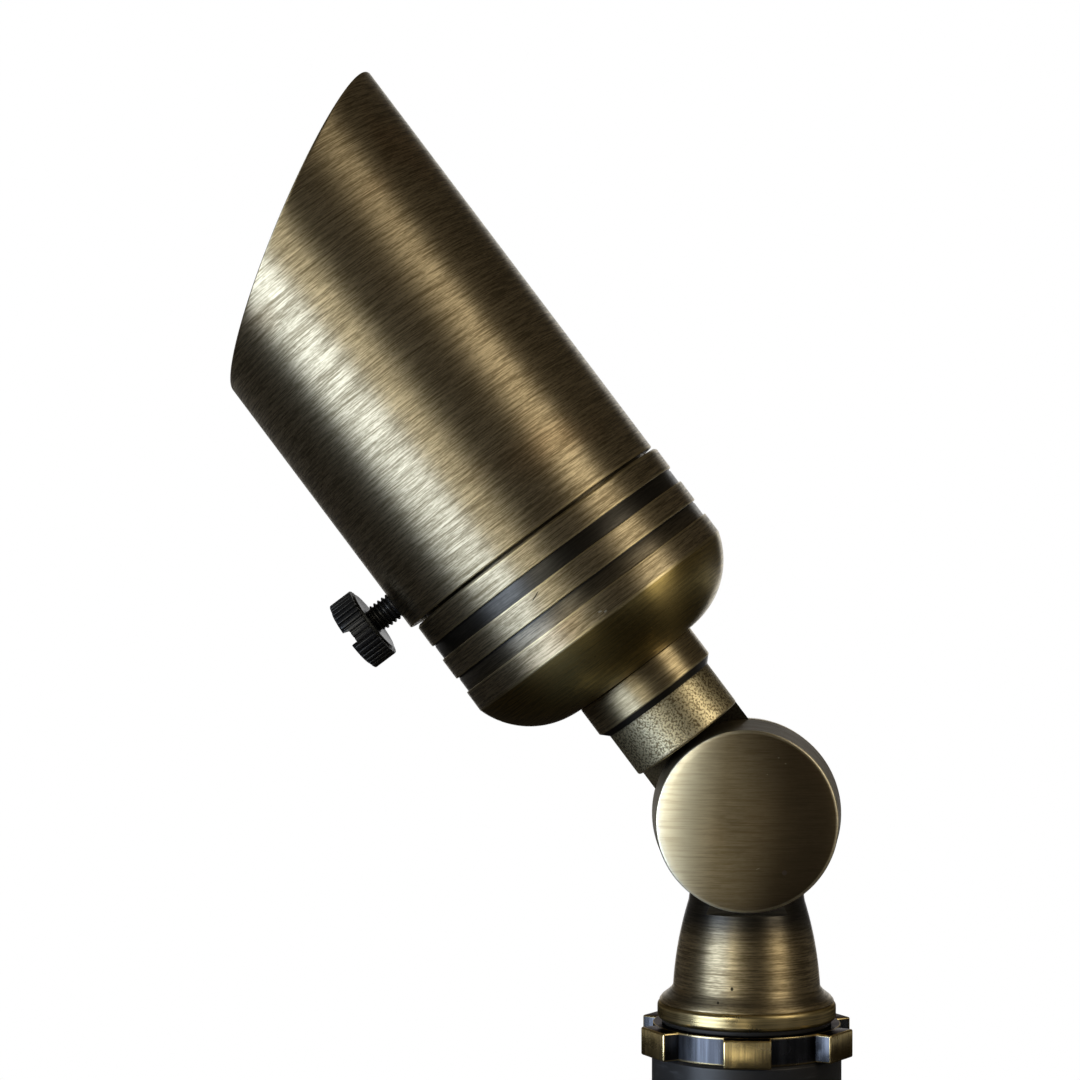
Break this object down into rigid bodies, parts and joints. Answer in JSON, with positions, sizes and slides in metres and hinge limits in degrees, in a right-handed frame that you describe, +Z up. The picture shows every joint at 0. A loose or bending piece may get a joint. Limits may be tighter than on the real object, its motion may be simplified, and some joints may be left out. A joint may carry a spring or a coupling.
{
  "type": "landscape spotlight",
  "caption": "Ground-stake garden spotlight: brushed brass head with slanted sliding glare shroud, black thumb screw, disc knuckle for tilt, castellated lock ring and black stake.",
  "frame": {"origin": "on the stake's axis at the ground line, where the round head of the stake meets the spike", "axes": "+Z up along the stake; the knuckle's bolt runs along Y with the plain drum face at -Y; the head leans towards -X"},
  "size_m": [0.1285, 0.0624, 0.428],
  "materials": {
    "head_brass": "antique, brushed round the axis",
    "knuckle_brass": "antique, brushed, worn bright at the rim",
    "cast_brass": "antique, sand-cast texture",
    "ring_brass": "dark antique, machined",
    "polished_brass": "bright, satin",
    "black_screw": "satin black",
    "stake_pvc": "satin moulded",
    "black_rubber": "matt",
    "steel": "plain",
    "ceramic": "unglazed ceramic",
    "reflector_glass": "mirror-coated glass",
    "clear_glass": "clear"
  },
  "bodies": {
    "stake": {"stake": "stake_pvc", "stake_spike": "stake_pvc"},
    "base": {"lower_knuckle": "knuckle_brass", "base_washer": "polished_brass", "base_gasket": "black_rubber", "knuckle_o_ring": "black_rubber"},
    "lock_ring": {"lock_ring": "ring_brass"},
    "bolt": {"knuckle_bolt": "steel", "knuckle_lock_washer": "steel"},
    "head": {"upper_knuckle": "cast_brass", "neck_collar": "head_brass", "neck_o_ring": "black_rubber", "housing": "head_brass", "nipple_nut": "polished_brass", "socket_bracket": "steel", "socket_screws": "steel", "lamp_socket": "ceramic", "lamp_base": "ceramic", "lamp_pins": "steel", "lamp_reflector": "reflector_glass", "lamp_capsule": "clear_glass", "lamp_front_glass": "clear_glass"},
    "cap": {"lens_cap": "head_brass", "cap_o_ring": "black_rubber", "lens_gasket": "black_rubber", "lens": "clear_glass", "lens_retaining_ring": "steel"},
    "shroud": {"shroud": "head_brass"},
    "thumb_screw": {"thumb_screw": "black_screw"}
  },
  "joints": [
    {"name": "pan", "type": "hinge", "parent": "stake", "child": "base", "pos_m": [0, 0, 0.045], "axis": [0, 0, 1], "continuous": true},
    {"name": "lock_ring_turn", "type": "hinge", "parent": "base", "child": "lock_ring", "pos_m": [0, 0, 0.045], "axis": [0, 0, 1], "continuous": true},
    {"name": "bolt_turn", "type": "hinge", "parent": "base", "child": "bolt", "pos_m": [0, 0, 0.0933], "axis": [0, 1, 0], "continuous": true},
    {"name": "tilt", "type": "hinge", "parent": "base", "child": "head", "pos_m": [0, 0, 0.0933], "axis": [0, 1, 0], "range_deg": [-73, 147]},
    {"name": "cap_turn", "type": "hinge", "parent": "head", "child": "cap", "pos_m": [0, 0, 0.0933], "axis": [-0.6018, 0, 0.7986], "continuous": true},
    {"name": "shroud_slide", "type": "slide", "parent": "cap", "child": "shroud", "axis": [-0.6018, 0, 0.7986], "range_m": [-0.0005, 0.022]},
    {"name": "thumb_screw_turn", "type": "hinge", "parent": "shroud", "child": "thumb_screw", "pos_m": [-0.04748, 0, 0.15631], "axis": [-0.7986, 0, -0.6018], "continuous": true}
  ]
}
